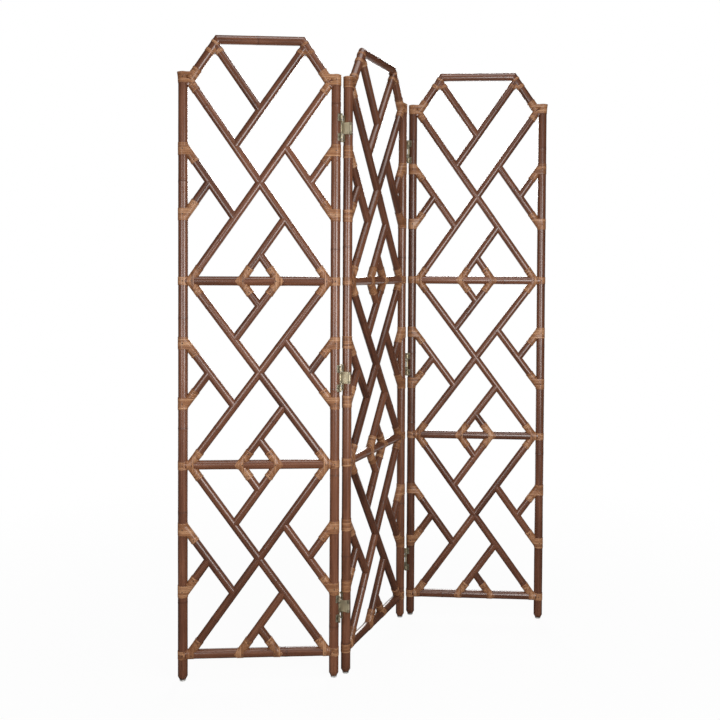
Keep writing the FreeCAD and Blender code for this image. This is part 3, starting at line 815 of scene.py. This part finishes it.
def poleGroups():
    groups = {"crest_rail": [(crest, {"mitre": crestMitre})]}
    for side, name in ((-1, "left_post"), (1, "right_post")):
        groups[name] = [(posts[side], {"caps": (True, True)})]
    groups["crest_shoulders"] = []
    for side, shoulder in shoulders.items():
        ends = {"tuck": poleLook["shoulderTuck"], "mitre": mitreShift(shoulder, side)}
        groups["crest_shoulders"].append((shoulder, ends))
    groups["cross_rails"] = [(rail, {}) for rail in rails.values()]
    for node, field in fretPoles.items():
        groups[node] = [(axis, {}) for bay in bays for axis in getattr(bay, field)]
    return groups


for panel in panels:
    place = PanelPlace(panel)
    for node, poles in poleGroups().items():
        pile = RingPile()
        for axis, ends in poles:
            addPole(pile, axis, **ends)
        pile.build(panel + "_cane_" + node, panel, place, poleMaterial, node, "rattan_pole")
    windings = {node: RingPile() for node in ("post_bindings", "rail_bindings", "crest_bindings")}
    postBindings(windings["post_bindings"])
    railBindings(windings["rail_bindings"])
    crestBindings(windings["crest_bindings"], freeSides.get(panel))
    for node, pile in windings.items():
        pile.build(panel + "_peel_" + node, panel, place, peelMaterial, node, "rattan_peel")
    print(panel, "dressed")

# Floor and studio
studio = {
    "floorSize": 14.0,
    "floorDrop": 0.0006,  # just below the feet
    "floorGrey": 0.6,
    "floorGlow": (0.95, 1.0),  # share of plain white seen by the camera, near the object and far off
    "floorFade": (0.8, 2.2),
    "ambient": 0.36,
    "keyPlace": (-1.02, -1.68, 1.08),
    "keySize": (0.65, 0.9),
    "keyPower": 10.5,
    "fillPlace": (0.70, -1.60, 1.08),
    "fillSize": (0.75, 1.1),
    "fillPower": 23.0,
    "topPlace": (0.1, -0.7, 3.2),
    "topSize": (2.2, 1.0),
    "topPower": 22.0,
    "backPlace": (0.4, 3.2, 2.4),
    "backSize": (1.6, 1.6),
    "backPower": 75.0,
    "aim": (-0.1, 0.0, 1.0),
    "wallGrey": 0.05,
    "wallReach": (2.6, -4.5, 6.0, 4.5),  # half width, front, back, height
    "clothBack": 1.2,
    "clothHeight": 0.002,
}


def seenPlainly(wire):
    rays = ("Is Camera Ray", "Is Glossy Ray", "Is Transmission Ray")
    camera, glossy, transmission = [wire.node("ShaderNodeLightPath", out=ray) for ray in rays]
    return camera.most(glossy).most(transmission)


def floorPlane():
    half = studio["floorSize"] / 2.0
    corners = [(-half, -half, 0.0), (half, -half, 0.0), (half, half, 0.0), (-half, half, 0.0)]
    mesh = bpy.data.meshes.new("studioFloor")
    mesh.from_pydata(corners, [], [(0, 1, 2, 3)])
    material, wire = newFinish("pale floor")
    grey = studio["floorGrey"]
    matt = wire.node("ShaderNodeBsdfDiffuse", sockets={"Color": (grey, grey, grey, 1.0)})
    glow = wire.node("ShaderNodeEmission", sockets={"Color": (1.0, 1.0, 1.0, 1.0), "Strength": 1.0})
    place = wire.node("ShaderNodeTexCoord", out="Object")
    distance = wire.node("ShaderNodeVectorMath", {"operation": "LENGTH"}, {0: place}, "Value")
    near, far = studio["floorFade"]
    nearGlow, farGlow = studio["floorGlow"]
    fade = {"Value": distance, "From Min": near, "From Max": far, "To Min": nearGlow, "To Max": farGlow}
    share = seenPlainly(wire) * wire.node("ShaderNodeMapRange", sockets=fade)
    surface = wire.node("ShaderNodeMixShader", sockets={0: share, 1: matt, 2: glow})
    wire.node("ShaderNodeOutputMaterial", sockets={"Surface": surface})
    mesh.materials.append(material)
    floor = bpy.data.objects.new("studioFloor", mesh)
    floor.location = (0.0, 0.0, -studio["floorDrop"])
    bpy.context.scene.collection.objects.link(floor)


# Dark walls, ceiling and floor cloth of the room in front of the backdrop, seen only in reflections
def roomWalls():
    half, front, back, height = studio["wallReach"]
    corners = [(x, y, z) for x in (-half, half) for y in (front, back) for z in (0.0, height)]
    cloth = [(x, y, studio["clothHeight"]) for x in (-half, half) for y in (front, studio["clothBack"])]
    mesh = bpy.data.meshes.new("roomWalls")
    quads = [(0, 1, 5, 4), (0, 2, 3, 1), (4, 5, 7, 6), (1, 3, 7, 5), (8, 10, 11, 9)]
    mesh.from_pydata(corners + cloth, [], quads)
    material, wire = newFinish("dark wall")
    grey = studio["wallGrey"]
    matt = wire.node("ShaderNodeBsdfDiffuse", sockets={"Color": (grey, grey, grey, 1.0)})
    wire.node("ShaderNodeOutputMaterial", sockets={"Surface": matt})
    mesh.materials.append(material)
    walls = bpy.data.objects.new("roomWalls", mesh)
    walls.visible_camera = False
    walls.visible_diffuse = False
    walls.visible_shadow = False
    bpy.context.scene.collection.objects.link(walls)


def softLight(name):
    lamp = bpy.data.lights.new(name, "AREA")
    lamp.shape = "RECTANGLE"
    lamp.size, lamp.size_y = studio[name + "Size"]
    lamp.energy = studio[name + "Power"]
    holder = bpy.data.objects.new(name, lamp)
    spot = Vector(studio[name + "Place"])
    holder.location = spot
    holder.rotation_euler = (Vector(studio["aim"]) - spot).to_track_quat("-Z", "Y").to_euler()
    holder.visible_camera = False
    bpy.context.scene.collection.objects.link(holder)


def whiteWorld():
    world = bpy.data.worlds.new("studio")
    bpy.context.scene.world = world
    world.use_nodes = True
    world.node_tree.nodes.clear()
    wire = Wire(world.node_tree)
    seen = seenPlainly(wire)
    strength = seen + (1.0 - seen) * studio["ambient"]
    white = wire.node("ShaderNodeBackground", sockets={"Color": (1.0, 1.0, 1.0, 1.0), "Strength": strength})
    wire.node("ShaderNodeOutputWorld", sockets={"Surface": white})


floorPlane()
roomWalls()
whiteWorld()
for lampName in ("key", "fill", "top", "back"):
    softLight(lampName)
print("studio: 4 soft lights")

# Camera, worked out from the posts and rails in the photograph (720 by 720)
view = {
    "place": (-0.07528, -2.54549, 1.15716),
    "focalPixels": 834.37,
    "centreRow": 285.74,
    "pitch": 0.0209,  # radians, looking down
    "roll": 0.00503,
    "yaw": 0.00918,
    "pixels": 720.0,
    "sensorWidth": 36.0,
    "clipStart": 0.05,
}


def photoCamera():
    pitch, roll, yaw = view["pitch"], view["roll"], view["yaw"]
    ahead = Vector((math.sin(yaw) * math.cos(pitch), math.cos(yaw) * math.cos(pitch), -math.sin(pitch)))
    level = Vector((math.cos(yaw), -math.sin(yaw), 0.0))
    upright = level.cross(ahead)
    right = level * math.cos(roll) + upright * math.sin(roll)
    up = upright * math.cos(roll) - level * math.sin(roll)
    lens = bpy.data.cameras.new("photoCamera")
    lens.sensor_fit = "HORIZONTAL"
    lens.sensor_width = view["sensorWidth"]
    lens.lens = view["focalPixels"] / view["pixels"] * lens.sensor_width
    lens.shift_y = (view["centreRow"] - view["pixels"] / 2.0) / view["pixels"]
    lens.clip_start = view["clipStart"]
    holder = bpy.data.objects.new("photoCamera", lens)
    turn = Matrix((right, up, -ahead)).transposed()
    holder.matrix_world = Matrix.Translation(Vector(view["place"])) @ turn.to_4x4()
    bpy.context.scene.collection.objects.link(holder)
    bpy.context.scene.camera = holder


photoCamera()
bpy.context.scene.view_settings.view_transform = "Standard"
print("camera set")
